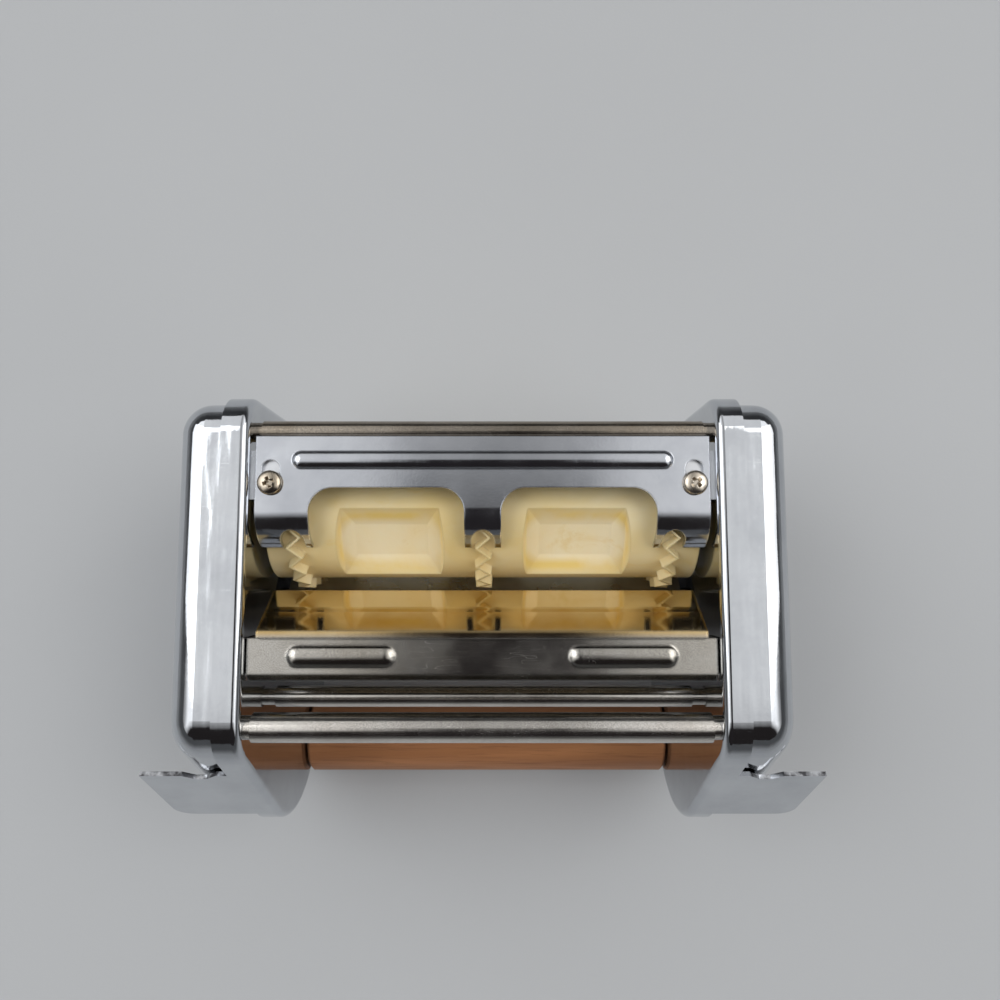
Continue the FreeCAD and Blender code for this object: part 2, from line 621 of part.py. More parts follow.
# Mold shaft: gear and clip on the left, crank hub with its socket on the right
SHAFT_TAIL = "(%s + dim.shaft_tail)" % CLIP_OUT
GROOVE = "(dim.shaft_radius - dim.clip_depth)"
HUB_START = "(%s + dim.stack_gap)" % BUSH_OUT
HUB_END = "(%s - dim.hub_recess)" % COVER_FACE
mold_shaft = turned("mold_shaft", "dim.mold_y", "dim.mold_z", [
    (minus(SHAFT_TAIL), "0"), ("%s - dim.socket_depth" % HUB_END, "0"),
    ("%s - dim.socket_depth" % HUB_END, "dim.socket_radius"), (HUB_END, "dim.socket_radius"),
    (HUB_END, "dim.hub_radius"), (HUB_START, "dim.hub_radius"), (HUB_START, "dim.shaft_radius"),
    (minus(CLIP_IN), "dim.shaft_radius"), (minus(CLIP_IN), GROOVE), (minus(CLIP_OUT), GROOVE),
    (minus(CLIP_OUT), "dim.shaft_radius"), (minus(SHAFT_TAIL), "dim.shaft_radius")])
socket_slot = new_sketch(mold_shaft, "socket_slot", "XY_Plane")
rectangle(socket_slot, "%s - dim.socket_slot_depth" % HUB_END, "%s + 1" % HUB_END,
          "-1 * dim.socket_slot_width / 2", "dim.socket_slot_width / 2")
cut_through(mold_shaft, socket_slot, "4 * dim.hub_radius")

# Counter shaft: gear and clip on the left, clip on the right
RIGHT_CLIP_IN = "(%s + dim.stack_gap)" % BUSH_OUT
RIGHT_CLIP_OUT = "(%s + dim.clip_gauge)" % RIGHT_CLIP_IN
RIGHT_TAIL = "(%s + dim.shaft_tail)" % RIGHT_CLIP_OUT
turned("counter_shaft", COUNTER_Y, COUNTER_Z, [
    (minus(SHAFT_TAIL), "0"), (RIGHT_TAIL, "0"), (RIGHT_TAIL, "dim.shaft_radius"),
    (RIGHT_CLIP_OUT, "dim.shaft_radius"), (RIGHT_CLIP_OUT, GROOVE), (RIGHT_CLIP_IN, GROOVE),
    (RIGHT_CLIP_IN, "dim.shaft_radius"), (minus(CLIP_IN), "dim.shaft_radius"), (minus(CLIP_IN), GROOVE),
    (minus(CLIP_OUT), GROOVE), (minus(CLIP_OUT), "dim.shaft_radius"), (minus(SHAFT_TAIL), "dim.shaft_radius")])


# Retaining clips: spring rings with an open side
def clip(name, start, y, z):
    ring = x_cylinder(name + "_ring", start, y, z, "%s + dim.clip_width" % GROOVE, "dim.clip_gauge")
    bore = x_cylinder(name + "_bore", "%s - 1" % start, y, z, "%s + dim.seat_gap" % GROOVE, "dim.clip_gauge + 2")
    mouth = box(name + "_mouth", ("%s - 1" % start, "%s - 0.8 * %s" % (y, GROOVE), "%s - 2 * dim.shaft_radius" % z),
                ("dim.clip_gauge + 2", "1.6 * %s" % GROOVE, "2 * dim.shaft_radius"))
    return cut(name, cut(name + "_closed", ring, bore), mouth)


LEFT_CLIP = minus(CLIP_OUT)
keep(clip("mold_clip", LEFT_CLIP, *AXES["mold"]), "mold_shaft_clip")
group("counter_shaft_clips", [clip("left_counter_clip", LEFT_CLIP, *AXES["counter"]),
                              clip("right_counter_clip", RIGHT_CLIP_IN, *AXES["counter"])])

# Counter roller: smooth, with recessed ends
HUB_OUT = "(%s + dim.hub_wall)" % BORE
RECESS = "(%s - dim.roller_recess)" % ROLLER_END
COUNTER_RIM = "(%s - dim.roller_rim)" % COUNTER_RADIUS
turned("counter_roller", COUNTER_Y, COUNTER_Z, [
    (minus(ROLLER_END), BORE), (ROLLER_END, BORE), (ROLLER_END, HUB_OUT), (RECESS, HUB_OUT),
    (RECESS, COUNTER_RIM), (ROLLER_END, COUNTER_RIM), (ROLLER_END, COUNTER_RADIUS),
    (minus(ROLLER_END), COUNTER_RADIUS), (minus(ROLLER_END), COUNTER_RIM), (minus(RECESS), COUNTER_RIM),
    (minus(RECESS), HUB_OUT), (minus(ROLLER_END), HUB_OUT)])


# Mold roller: lands, three zigzag cutting ridges and rows of pockets
def zigzag_ring():
    """Closed ring whose wall swings from side to side, thinner at its tip than at its root."""
    steps = int(2 * size.ridge_turns)
    sunk = size.mold_radius - size.ridge_sink
    tip = size.mold_radius + size.ridge_height
    swing = (size.ridge_width - size.ridge_tip) / 2
    rings = []
    for step in range(steps):
        angle = 2 * math.pi * step / steps
        centre = -swing if step % 2 else swing
        corners = []
        for radius, half in ((sunk, size.ridge_root / 2), (tip, size.ridge_tip / 2)):
            for side in (-1, 1):
                corners.append(V(centre + side * half, radius * math.cos(angle), radius * math.sin(angle)))
        rings.append([corners[0], corners[1], corners[3], corners[2]])
    faces = []
    for step in range(steps):
        here = rings[step]
        there = rings[(step + 1) % steps]
        for k in range(4):
            a, b = here[k], here[(k + 1) % 4]
            c, d = there[(k + 1) % 4], there[k]
            faces.append(Part.Face(Part.makePolygon([a, b, c, a])))
            faces.append(Part.Face(Part.makePolygon([a, c, d, a])))
    solid = Part.makeSolid(Part.makeShell(faces))
    if solid.Volume < 0:
        solid.reverse()
    return solid


core = new_body("mold_core")
core_profile = new_sketch(core, "mold_core_profile", "XY_Plane")
polygon(core_profile, [(minus(ROLLER_END), BORE), (ROLLER_END, BORE), (ROLLER_END, "dim.mold_radius"),
                       (minus(ROLLER_END), "dim.mold_radius")])
core_turn = core.newObject("PartDesign::Revolution", "mold_core_turn")
core_turn.Profile = core_profile
core_turn.ReferenceAxis = (core_profile, ["H_Axis"])
core_turn.Angle = 360
document.recompute()

rings = []
for step in (-1, 0, 1):
    ring = document.addObject("Part::Feature", "zigzag_ridge_%d" % (step + 2))
    ring.Shape = zigzag_ring()
    bind(ring, Placement__Base__x="%d * dim.pocket_pitch" % step)
    rings.append(ring)

# Pocket cutters: a shallow frustum from the floor to the shoulder and a steeper one above it
SHOULDER_HALF = "(dim.pocket_shoulder_length / 2)"
END_LEAN = "((dim.pocket_length - dim.pocket_shoulder_length) / 2 / (dim.pocket_depth - dim.pocket_shoulder))"
CLEAR = "(dim.ridge_height + dim.pocket_depth)"


def pocket_half_width(height):
    """Half the pocket round the roller, at a height above its floor."""
    return "(dim.pocket_floor_width / 2 + tan(dim.pocket_slant) * %s)" % height


def frustum(name, low, high, low_half, high_half):
    """Wedge between two heights above the pocket floor, with half lengths along the roller."""
    item = document.addObject("Part::Wedge", name)
    bind(item, Ymin=low, Ymax=high, Xmin=minus(low_half), Xmax=low_half, X2min=minus(high_half), X2max=high_half,
         Zmin=minus(pocket_half_width(low)), Zmax=pocket_half_width(low),
         Z2min=minus(pocket_half_width(high)), Z2max=pocket_half_width(high))
    return item


cutters = []
for row in range(int(size.pocket_rows)):
    turn = "(90 + dim.pocket_lead + %d * 360 / dim.pocket_rows)" % row
    floor = "(dim.mold_radius - dim.pocket_depth)"
    for side in (-1, 1):
        name = "pocket_%d_%s" % (row, "left" if side < 0 else "right")
        lower = frustum(name + "_floor", "0", "dim.pocket_shoulder", "(dim.pocket_floor_length / 2)", SHOULDER_HALF)
        upper = frustum(name + "_walls", "dim.pocket_shoulder", CLEAR, SHOULDER_HALF,
                        "(%s + %s * (%s - dim.pocket_shoulder))" % (SHOULDER_HALF, END_LEAN, CLEAR))
        for cutter in (lower, upper):
            cutter.Placement = FreeCAD.Placement(V(0, 0, 0), FreeCAD.Rotation(V(1, 0, 0), value(turn)))
            bind(cutter, Placement__Rotation__Angle=turn, Placement__Base__x="%d * dim.pocket_pitch / 2" % side,
                 Placement__Base__y="%s * cos(%s)" % (floor, turn), Placement__Base__z="%s * sin(%s)" % (floor, turn))
            cutters.append(cutter)
ridged = fuse("mold_ridged", [core] + rings)
mold_roller = cut("mold_roller_cut", ridged, fuse("pocket_cutters", cutters))
mold_roller.Refine = True
bind(mold_roller, Placement__Base__y="dim.mold_y", Placement__Base__z="dim.mold_z")
keep(mold_roller, "mold_roller")


# Gears: involute teeth, one of each pair with a tooth where the other has a gap
def gear_outline(start_angle):
    """Closed outline of a spur gear in the YZ plane, the first tooth centred on start_angle."""
    teeth = int(size.gear_teeth)
    pitch = size.gear_module * teeth / 2
    base = pitch * math.cos(math.radians(20))
    tip = pitch + size.gear_module
    root = pitch - 1.25 * size.gear_module
    half_tooth = math.pi / 2 / teeth - size.gear_backlash / 4 / pitch
    pitch_roll = math.tan(math.acos(base / pitch)) - math.acos(base / pitch)

    def flank(radius):
        """Half angle of a tooth at a radius."""
        inside = max(radius, base)
        pressure = math.acos(base / inside)
        return half_tooth + pitch_roll - (math.tan(pressure) - pressure)

    def at(radius, angle):
        return V(0, radius * math.cos(angle), radius * math.sin(angle))

    edges = []
    step = 2 * math.pi / teeth
    middle = (base + tip) / 2
    for tooth in range(teeth):
        centre = start_angle + tooth * step
        right = [at(r, centre - flank(r)) for r in (root, base, middle, tip)]
        left = [at(r, centre + flank(r)) for r in (tip, middle, base, root)]
        edges.append(Part.Arc(right[1], right[2], right[3]).toShape())
        edges.append(Part.Arc(left[0], left[1], left[2]).toShape())
        straight = [(right[0], right[1]), (right[3], left[0]), (left[2], left[3]),
                    (left[3], at(root, centre + step - flank(root)))]
        edges += [Part.LineSegment(start, finish).toShape() for start, finish in straight]
    return Part.Wire(Part.__sortEdges__(edges))


def gear(node, y, z, start_angle):
    blank = document.addObject("Part::Feature", node + "_teeth")
    blank.Shape = Part.Face(gear_outline(start_angle)).extrude(V(size.gear_face, 0, 0))
    bind(blank, Placement__Base__x=minus(GEAR_OUT), Placement__Base__y=y, Placement__Base__z=z)
    bore = x_cylinder(node + "_bore", "-1 * %s - 1" % GEAR_OUT, y, z, BORE, "dim.gear_face + 2")
    keep(cut(node + "_cut", blank, bore), node)


towards_counter = math.radians(180 + size.nip_angle)
half_pitch = math.pi / size.gear_teeth
gear("mold_gear", *AXES["mold"], towards_counter)
gear("counter_gear", *AXES["counter"], towards_counter - math.pi + half_pitch)

def rib(name, y, z, left, right, width):
    """Pressed rib on a sheet whose top is at z: the crown of a round bar with ball ends."""
    radius = "((%s * %s / 4 + dim.rib_rise * dim.rib_rise) / (2 * dim.rib_rise))" % (width, width)
    axis_z = "(%s + dim.rib_rise - %s)" % (z, radius)
    start = "(%s + %s / 2)" % (left, width)
    finish = "(%s - %s / 2)" % (right, width)
    bar = [x_cylinder(name + "_bar", start, y, axis_z, radius, "%s - %s" % (finish, start))]
    for end, x in (("left", start), ("right", finish)):
        ball = document.addObject("Part::Sphere", "%s_%s_ball" % (name, end))
        bind(ball, Radius=radius, Placement__Base__x=x, Placement__Base__y=y, Placement__Base__z=axis_z)
        bar.append(ball)
    above = box(name + "_above", (left, "%s - %s / 2" % (y, width), z + " - 0.3 * dim.rib_rise"),
                ("%s - %s" % (right, left), width, "2 * dim.rib_rise"))
    crown = document.addObject("Part::MultiCommon", name + "_crown")
    crown.Shapes = [fuse(name + "_form", bar), above]
    return crown


# Comb plate: flat behind, bent down over the mold roller, with windows, notches, slots and a rib
COMB_HALF = "(%s - dim.comb_side_gap)" % HALF
BEND_Z = "(%s - dim.comb_bend_radius)" % COMB_TOP
INNER_BEND = "(dim.comb_bend_radius - dim.comb_gauge)"


def on_bend(radius, run):
    """Point at the end of the bend, a straight run past it."""
    across = "dim.comb_bend_start - %s * sin(dim.comb_wrap) - %s * cos(dim.comb_wrap)" % (radius, run)
    up = "%s + %s * cos(dim.comb_wrap) - %s * sin(dim.comb_wrap)" % (BEND_Z, radius, run)
    return across, up


COMB_SCREW_X = "(%s - dim.comb_screw_inset)" % HALF
TIP_Y = "(%s)" % on_bend("dim.comb_bend_radius", "dim.comb_tip")[0]
comb = new_body("comb_body")
comb_profile = new_sketch(comb, "comb_profile", "YZ_Plane")
polygon(comb_profile, [
    ("dim.comb_back", COMB_TOP),
    ("dim.comb_bend_start", COMB_TOP, "dim.comb_bend_radius", "dim.comb_bend_start", BEND_Z),
    on_bend("dim.comb_bend_radius", "0"),
    on_bend("dim.comb_bend_radius", "dim.comb_tip"),
    on_bend(INNER_BEND, "dim.comb_tip"),
    on_bend(INNER_BEND, "0") + (INNER_BEND, "dim.comb_bend_start", BEND_Z),
    ("dim.comb_bend_start", COMB_UNDER),
    ("dim.comb_back", COMB_UNDER)])
pad(comb, comb_profile, "2 * %s" % COMB_HALF, centred=True)
comb_cuts = new_sketch(comb, "comb_cuts", "XY_Plane", COMB_TOP)
AHEAD = "(%s - 5)" % TIP_Y
WINDOW_INNER = "(dim.notch_half + dim.prong_width)"
WINDOW_OUTER = "(dim.pocket_pitch - dim.notch_half - dim.prong_width)"
arch(comb_cuts, WINDOW_INNER, WINDOW_OUTER, AHEAD, "dim.window_back", "dim.window_corner")
arch(comb_cuts, minus(WINDOW_OUTER), minus(WINDOW_INNER), AHEAD, "dim.window_back", "dim.window_corner")
NOTCH_ROUND = "(dim.notch_back - dim.notch_half)"
SLOT_LOW = "(dim.comb_slot_front + dim.comb_slot_half)"
SLOT_HIGH = "(dim.comb_slot_back - dim.comb_slot_half)"
round_ends = []
for step in (-1, 0, 1):
    middle = "%d * dim.pocket_pitch" % step
    rectangle(comb_cuts, "%s - dim.notch_half" % middle, "%s + dim.notch_half" % middle, AHEAD, NOTCH_ROUND)
    round_ends.append((middle, NOTCH_ROUND, "dim.notch_half"))
for sign in (-1, 1):
    middle = "%d * %s" % (sign, COMB_SCREW_X)
    rectangle(comb_cuts, "%s - dim.comb_slot_half" % middle, "%s + dim.comb_slot_half" % middle,
              SLOT_LOW, SLOT_HIGH)
    round_ends.append((middle, SLOT_LOW, "dim.comb_slot_half"))
    round_ends.append((middle, SLOT_HIGH, "dim.comb_slot_half"))
cut_through(comb, comb_cuts, "60")
comb_rounds = new_sketch(comb, "comb_rounds", "XY_Plane", COMB_TOP)
for across, along, radius in round_ends:
    circle(comb_rounds, across, along, radius)
cut_through(comb, comb_rounds, "60")
comb_rib = rib("comb_rib", "(dim.rib_back + dim.rib_front) / 2", COMB_TOP, minus("dim.rib_half"), "dim.rib_half",
               "(dim.rib_back - dim.rib_front)")
keep(fuse("comb_plate_ribbed", [comb, comb_rib]), "comb_plate")

# Comb plate brackets: angles welded to the frames under the plate
for side, sign in (("left", "-1"), ("right", "1")):
    bracket = new_body(side + "_bracket")
    profile = new_sketch(bracket, side + "_bracket_profile", "XZ_Plane", minus("dim.bracket_back"))
    inner = "%s * (%s - dim.bracket_width)" % (sign, HALF)
    wall = "%s * (%s - dim.bracket_gauge)" % (sign, HALF)
    outer = "%s * (%s)" % (sign, HALF)
    polygon(profile, [(inner, COMB_UNDER), (outer, COMB_UNDER), (outer, "%s - dim.bracket_drop" % COMB_UNDER),
                      (wall, "%s - dim.bracket_drop" % COMB_UNDER), (wall, "%s - dim.bracket_gauge" % COMB_UNDER),
                      (inner, "%s - dim.bracket_gauge" % COMB_UNDER)])
    pad(bracket, profile, "dim.bracket_back - dim.bracket_front")
    bore = new_sketch(bracket, side + "_bracket_bore", "XY_Plane", COMB_UNDER)
    circle(bore, "%s * %s" % (sign, COMB_SCREW_X), "dim.comb_screw_y", SCREW_HOLE)
    cut_through(bracket, bore, "2 * dim.bracket_gauge + 1")
    keep(bracket, side + "_comb_bracket")


def z_screw(name, x, y, seat, head_radius, head_height, reach):
    """Screw from above: head on its seat, thread going down."""
    head = document.addObject("Part::Cylinder", name + "_head")
    bind(head, Radius=head_radius, Height=head_height)
    bind(head, Placement__Base__x=x, Placement__Base__y=y, Placement__Base__z=seat)
    thread = document.addObject("Part::Cylinder", name + "_thread")
    bind(thread, Radius="dim.screw_radius", Height=reach)
    bind(thread, Placement__Base__x=x, Placement__Base__y=y, Placement__Base__z="%s - %s" % (seat, reach))
    return fuse(name, [head, thread])


COMB_SCREW_REACH = "(dim.comb_gauge + dim.bracket_gauge + dim.screw_tail)"
group("comb_plate_screws", [
    z_screw(side + "_comb_screw", "%s * %s" % (sign, COMB_SCREW_X), "dim.comb_screw_y", COMB_TOP,
            "dim.comb_screw_head", "dim.comb_screw_head_height", COMB_SCREW_REACH)
    for side, sign in (("left", "-1"), ("right", "1"))])


# Feed plate: lip, slope, fold, flat strip and nose, one bent sheet with side flanges
def bent_sheet(path, gauge, half_width):
    """Sheet of one gauge along a path of (y, z) points, its good side on the path."""
    wire = Part.makePolygon([V(0, y, z) for y, z in path])
    offsets = [wire.makeOffset2D(amount, 2, False, True) for amount in (gauge, -gauge)]
    under = min(offsets, key=lambda w: w.BoundBox.ZMax)
    top_points = [v.Point for v in wire.OrderedVertexes]
    under_points = [v.Point for v in under.OrderedVertexes]
    if (under_points[0] - top_points[0]).Length > (under_points[-1] - top_points[0]).Length:
        under_points.reverse()
    outline = Part.makePolygon(top_points + under_points[::-1] + [top_points[0]])
    outline.translate(V(-half_width, 0, 0))
    return Part.Face(outline).extrude(V(2 * half_width, 0, 0))


lip_y = value(LIP_Y)
counter_z_at_lip = value(COUNTER_Z) + math.sqrt(value(COUNTER_RADIUS) ** 2 - (lip_y - value(COUNTER_Y)) ** 2)
fold_y = size.feed_crest_y - size.feed_crest_width
feed_path = [(lip_y, counter_z_at_lip + size.feed_lip_clear), (lip_y, size.feed_lip_top),
             (size.feed_crest_y, size.feed_crest_z), (fold_y, size.feed_crest_z),
             (fold_y, size.feed_strip_z), (size.feed_strip_front, size.feed_strip_z),
             (size.feed_strip_front - size.feed_nose_drop, size.feed_strip_z - size.feed_nose_drop)]
slope_half = value(HALF) - size.feed_slope_inset
strip_half = value(HALF) - size.feed_side_gap
slope_sheet = bent_sheet(feed_path[:5], size.feed_gauge, slope_half)
strip_sheet = bent_sheet(feed_path[4:], size.feed_gauge, strip_half)
strip_length = fold_y - size.feed_strip_front
joining = Part.makeBox(2 * slope_half, size.feed_gauge, size.feed_gauge,
                       V(-slope_half, fold_y, size.feed_strip_z - size.feed_gauge))
flange_low = size.feed_strip_z - size.feed_flange_drop
flanges = [Part.makeBox(size.feed_gauge, strip_length, size.feed_flange_drop,
                        V(x, size.feed_strip_front, flange_low))
           for x in (-strip_half, strip_half - size.feed_gauge)]
feed_form = slope_sheet.fuse([strip_sheet, joining] + flanges).removeSplitter()
feed_bores = [Part.makeCylinder(size.screw_radius + size.seat_gap, 2 * size.feed_gauge,
                                V(x, size.feed_screw_y, value(FEED_SCREW_Z)), V(1, 0, 0))
              for x in (-strip_half - size.feed_gauge / 2, strip_half - 1.5 * size.feed_gauge)]
feed_plate = document.addObject("Part::Feature", "feed_plate_sheet")
feed_plate.Shape = feed_form.cut(Part.makeCompound(feed_bores))
feed_ribs = []
for side, sign in (("left", -1), ("right", 1)):
    ends = ["%d * dim.feed_rib_%s" % (sign, end) for end in ("outer", "inner")[::-sign]]
    feed_ribs.append(rib(side + "_feed_rib", "(dim.feed_rib_back + dim.feed_rib_front) / 2", "dim.feed_strip_z",
                         ends[0], ends[1], "(dim.feed_rib_back - dim.feed_rib_front)"))
keep(fuse("feed_plate_ribbed", [feed_plate] + feed_ribs), "feed_plate")


def side_screw(name, sign, seat, y, z, reach):
    """Screw from outside: head on its seat, thread going in. Sign is -1 on the left, 1 on the right."""
    inner = "%s - %s" % (seat, reach)
    outer = "%s + dim.head_height" % seat
    if sign < 0:
        head = x_cylinder(name + "_head", minus(outer), y, z, "dim.head_radius", "dim.head_height")
        thread = x_cylinder(name + "_thread", minus(seat), y, z, "dim.screw_radius", reach)
    else:
        head = x_cylinder(name + "_head", seat, y, z, "dim.head_radius", "dim.head_height")
        thread = x_cylinder(name + "_thread", inner, y, z, "dim.screw_radius", reach)
    return fuse(name, [head, thread])


FEED_SCREW_REACH = "(dim.plate_gauge + dim.feed_side_gap + dim.feed_gauge + dim.screw_tail)"
group("feed_plate_screws", [
    side_screw(side + "_feed_screw", sign, PLATE, "dim.feed_screw_y", FEED_SCREW_Z, FEED_SCREW_REACH)
    for side, sign in (("left", -1), ("right", 1))])

# Cover posts welded to the frames, and the screws that hold the covers to them
POST_END = "(%s - dim.cover_gauge)" % COVER_FACE
for side, sign in (("left", -1), ("right", 1)):
    posts = []
    screws = []
    for post in POSTS:
        y = "dim.%s_y" % post
        z = "dim.%s_z" % post
        name = "%s_%s" % (side, post)
        start = PLATE if sign > 0 else minus(POST_END)
        column = x_cylinder(name + "_column", start, y, z, "dim.post_radius", "%s - %s" % (POST_END, PLATE))
        bore_depth = "(3 * dim.screw_radius)"
        bore_start = "%s - %s" % (POST_END, bore_depth) if sign > 0 else minus(POST_END)
        bore = x_cylinder(name + "_bore", bore_start, y, z, SCREW_HOLE, bore_depth)
        posts.append(cut(name + "_post", column, bore))
        screws.append(side_screw(name + "_screw", sign, COVER_FACE, y, z,
                                 "(dim.cover_gauge + 2.4 * dim.screw_radius)"))
    group(side + "_cover_posts", posts)
    group(side + "_cover_screws", screws)

# Check every object, then write the sub-parts
document.recompute()
for item in document.Objects:
    if "Invalid" in item.State or "Error" in item.State:
        raise RuntimeError("%s failed: %s" % (item.Name, item.State))
for node, item in EXPORTS.items():
    shape = item.Shape
    if shape.isNull() or not shape.isValid() or not shape.Solids:
        raise RuntimeError(node + " is not a valid solid")
os.makedirs("parts", exist_ok=True)
for node, item in EXPORTS.items():
    item.Shape.exportStep("parts/%s.step" % node)
    print(node, len(item.Shape.Solids), round(item.Shape.Volume, 1))
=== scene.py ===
import math

import bmesh
import bpy
from mathutils import Matrix, Vector


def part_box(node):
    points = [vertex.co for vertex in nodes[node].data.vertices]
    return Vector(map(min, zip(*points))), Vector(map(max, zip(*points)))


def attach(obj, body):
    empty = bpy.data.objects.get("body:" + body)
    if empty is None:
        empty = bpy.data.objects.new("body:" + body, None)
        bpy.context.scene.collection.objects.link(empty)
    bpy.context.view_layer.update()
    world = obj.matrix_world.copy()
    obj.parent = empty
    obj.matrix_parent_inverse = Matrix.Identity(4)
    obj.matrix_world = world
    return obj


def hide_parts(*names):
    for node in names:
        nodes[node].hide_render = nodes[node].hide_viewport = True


# Ravioli maker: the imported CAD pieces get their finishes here, and detailed screws stand in for
# three nodes of plain ones. Metres, X right, Y back, Z up.

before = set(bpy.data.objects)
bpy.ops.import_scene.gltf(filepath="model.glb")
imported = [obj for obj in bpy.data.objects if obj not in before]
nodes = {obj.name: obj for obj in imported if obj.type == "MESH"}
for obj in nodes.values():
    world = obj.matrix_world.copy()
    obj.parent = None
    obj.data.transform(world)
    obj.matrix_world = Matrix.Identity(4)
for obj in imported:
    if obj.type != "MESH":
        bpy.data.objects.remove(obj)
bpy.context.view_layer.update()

EVEN = (1, 1, 1)
BEVEL_SAMPLES = 4


# Node tree helpers
def new_material(name, **sockets):
    """Material with one shader, its constants set on the shader's own sockets."""
    material = bpy.data.materials.new(name)
    material.use_nodes = True
    shader = material.node_tree.nodes["Principled BSDF"]
    for socket, amount in sockets.items():
        shader.inputs[socket.replace("_", " ")].default_value = amount
    return material, material.node_tree, shader


def connect(tree, socket, source):
    """Link a socket, or set it where the source is a constant."""
    if isinstance(source, bpy.types.NodeSocket):
        tree.links.new(source, socket)
    else:
        socket.default_value = source


def present(shader, socket):
    """What is linked to one of the shader's sockets so far."""
    return shader.inputs[socket].links[0].from_socket


def coordinate(tree, kind):
    return tree.nodes.new("ShaderNodeTexCoord").outputs[kind]


def part_of(tree, source, axis):
    parts = tree.nodes.new("ShaderNodeSeparateXYZ")
    tree.links.new(source, parts.inputs[0])
    return parts.outputs[axis]


def place_by_object(tree, stretch=EVEN):
    """Object coordinates, stretched per axis."""
    mapping = tree.nodes.new("ShaderNodeMapping")
    mapping.inputs["Scale"].default_value = stretch
    tree.links.new(coordinate(tree, "Object"), mapping.inputs["Vector"])
    return mapping.outputs["Vector"]


def noise(tree, scale, stretch=EVEN, detail=3.0, roughness=0.5, distortion=0.0):
    texture = tree.nodes.new("ShaderNodeTexNoise")
    texture.inputs["Scale"].default_value = scale
    texture.inputs["Detail"].default_value = detail
    texture.inputs["Roughness"].default_value = roughness
    texture.inputs["Distortion"].default_value = distortion
    tree.links.new(place_by_object(tree, stretch), texture.inputs["Vector"])
    return texture.outputs["Fac"]


def calculate(tree, operation, *sources):
    """Math node: each source is a socket or a number."""
    node = tree.nodes.new("ShaderNodeMath")
    node.operation = operation
    for socket, source in zip(node.inputs, sources):
        connect(tree, socket, source)
    return node.outputs[0]


def calculate_vector(tree, operation, *sources, output="Vector"):
    """Vector math node: each source is a socket or a vector, output is Vector or Value."""
    node = tree.nodes.new("ShaderNodeVectorMath")
    node.operation = operation
    for socket, source in zip(node.inputs, sources):
        connect(tree, socket, source)
    return node.outputs[output]


def ramp(tree, source, stops):
    """Colour ramp: stops are pairs of place and grey level."""
    node = tree.nodes.new("ShaderNodeValToRGB")
    elements = node.color_ramp.elements
    while len(elements) < len(stops):
        elements.new(0.5)
    for element, (place, grey) in zip(elements, stops):
        element.position = place
        element.color = (grey, grey, grey, 1)
    tree.links.new(source, node.inputs["Fac"])
    return node.outputs["Color"]


def remap(tree, source, low, high, out_low=0.0, out_high=1.0):
    """Straight line from one range to another, held at both ends."""
    node = tree.nodes.new("ShaderNodeMapRange")
    for socket, amount in (("From Min", low), ("From Max", high), ("To Min", out_low), ("To Max", out_high)):
        node.inputs[socket].default_value = amount
    tree.links.new(source, node.inputs["Value"])
    return node.outputs["Result"]


def mix(tree, factor, first, second, blend="MIX"):
    """Mix of two colours: each is a socket or three numbers."""
    node = tree.nodes.new("ShaderNodeMix")
    node.data_type = "RGBA"
    node.blend_type = blend
    for socket, source in ((0, factor), (6, first), (7, second)):
        connect(tree, node.inputs[socket], source + (1,) if isinstance(source, tuple) else source)
    return node.outputs[2]


def lay_over(tree, shader, factor, colour):
    """Put another colour over the present one where the factor says."""
    covered = mix(tree, factor, present(shader, "Base Color"), colour)
    tree.links.new(covered, shader.inputs["Base Color"])


def soft_edges(tree, radius):
    """Normals rounded at the edges of a piece."""
    bevel = tree.nodes.new("ShaderNodeBevel")
    bevel.samples = BEVEL_SAMPLES
    bevel.inputs["Radius"].default_value = radius
    return bevel.outputs["Normal"]


def add_bump(tree, shader, source, distance, after=None):
    node = tree.nodes.new("ShaderNodeBump")
    node.inputs["Distance"].default_value = distance
    tree.links.new(source, node.inputs["Height"])
    if after is not None:
        tree.links.new(after, node.inputs["Normal"])
    tree.links.new(node.outputs["Normal"], shader.inputs["Normal"])
    return node.outputs["Normal"]


def scratches(tree, stretch, scale, width):
    """Thin bright lines on a dark ground: the zero crossings of a stretched noise."""
    field = noise(tree, scale, stretch, detail=1.0)
    offset = calculate(tree, "ABSOLUTE", calculate(tree, "SUBTRACT", field, 0.5))
    return remap(tree, offset, 0.0, width, 1.0, 0.0)


# Metals
SPECK_COLOUR = (0.10, 0.095, 0.09)
SCRATCH_SCALE = 60.0
SCRATCH_WIDTH = 0.004
SCRATCH_ROUGHNESS = 0.12
SLIGHT_RIPPLE = (0.00001, 55.0)


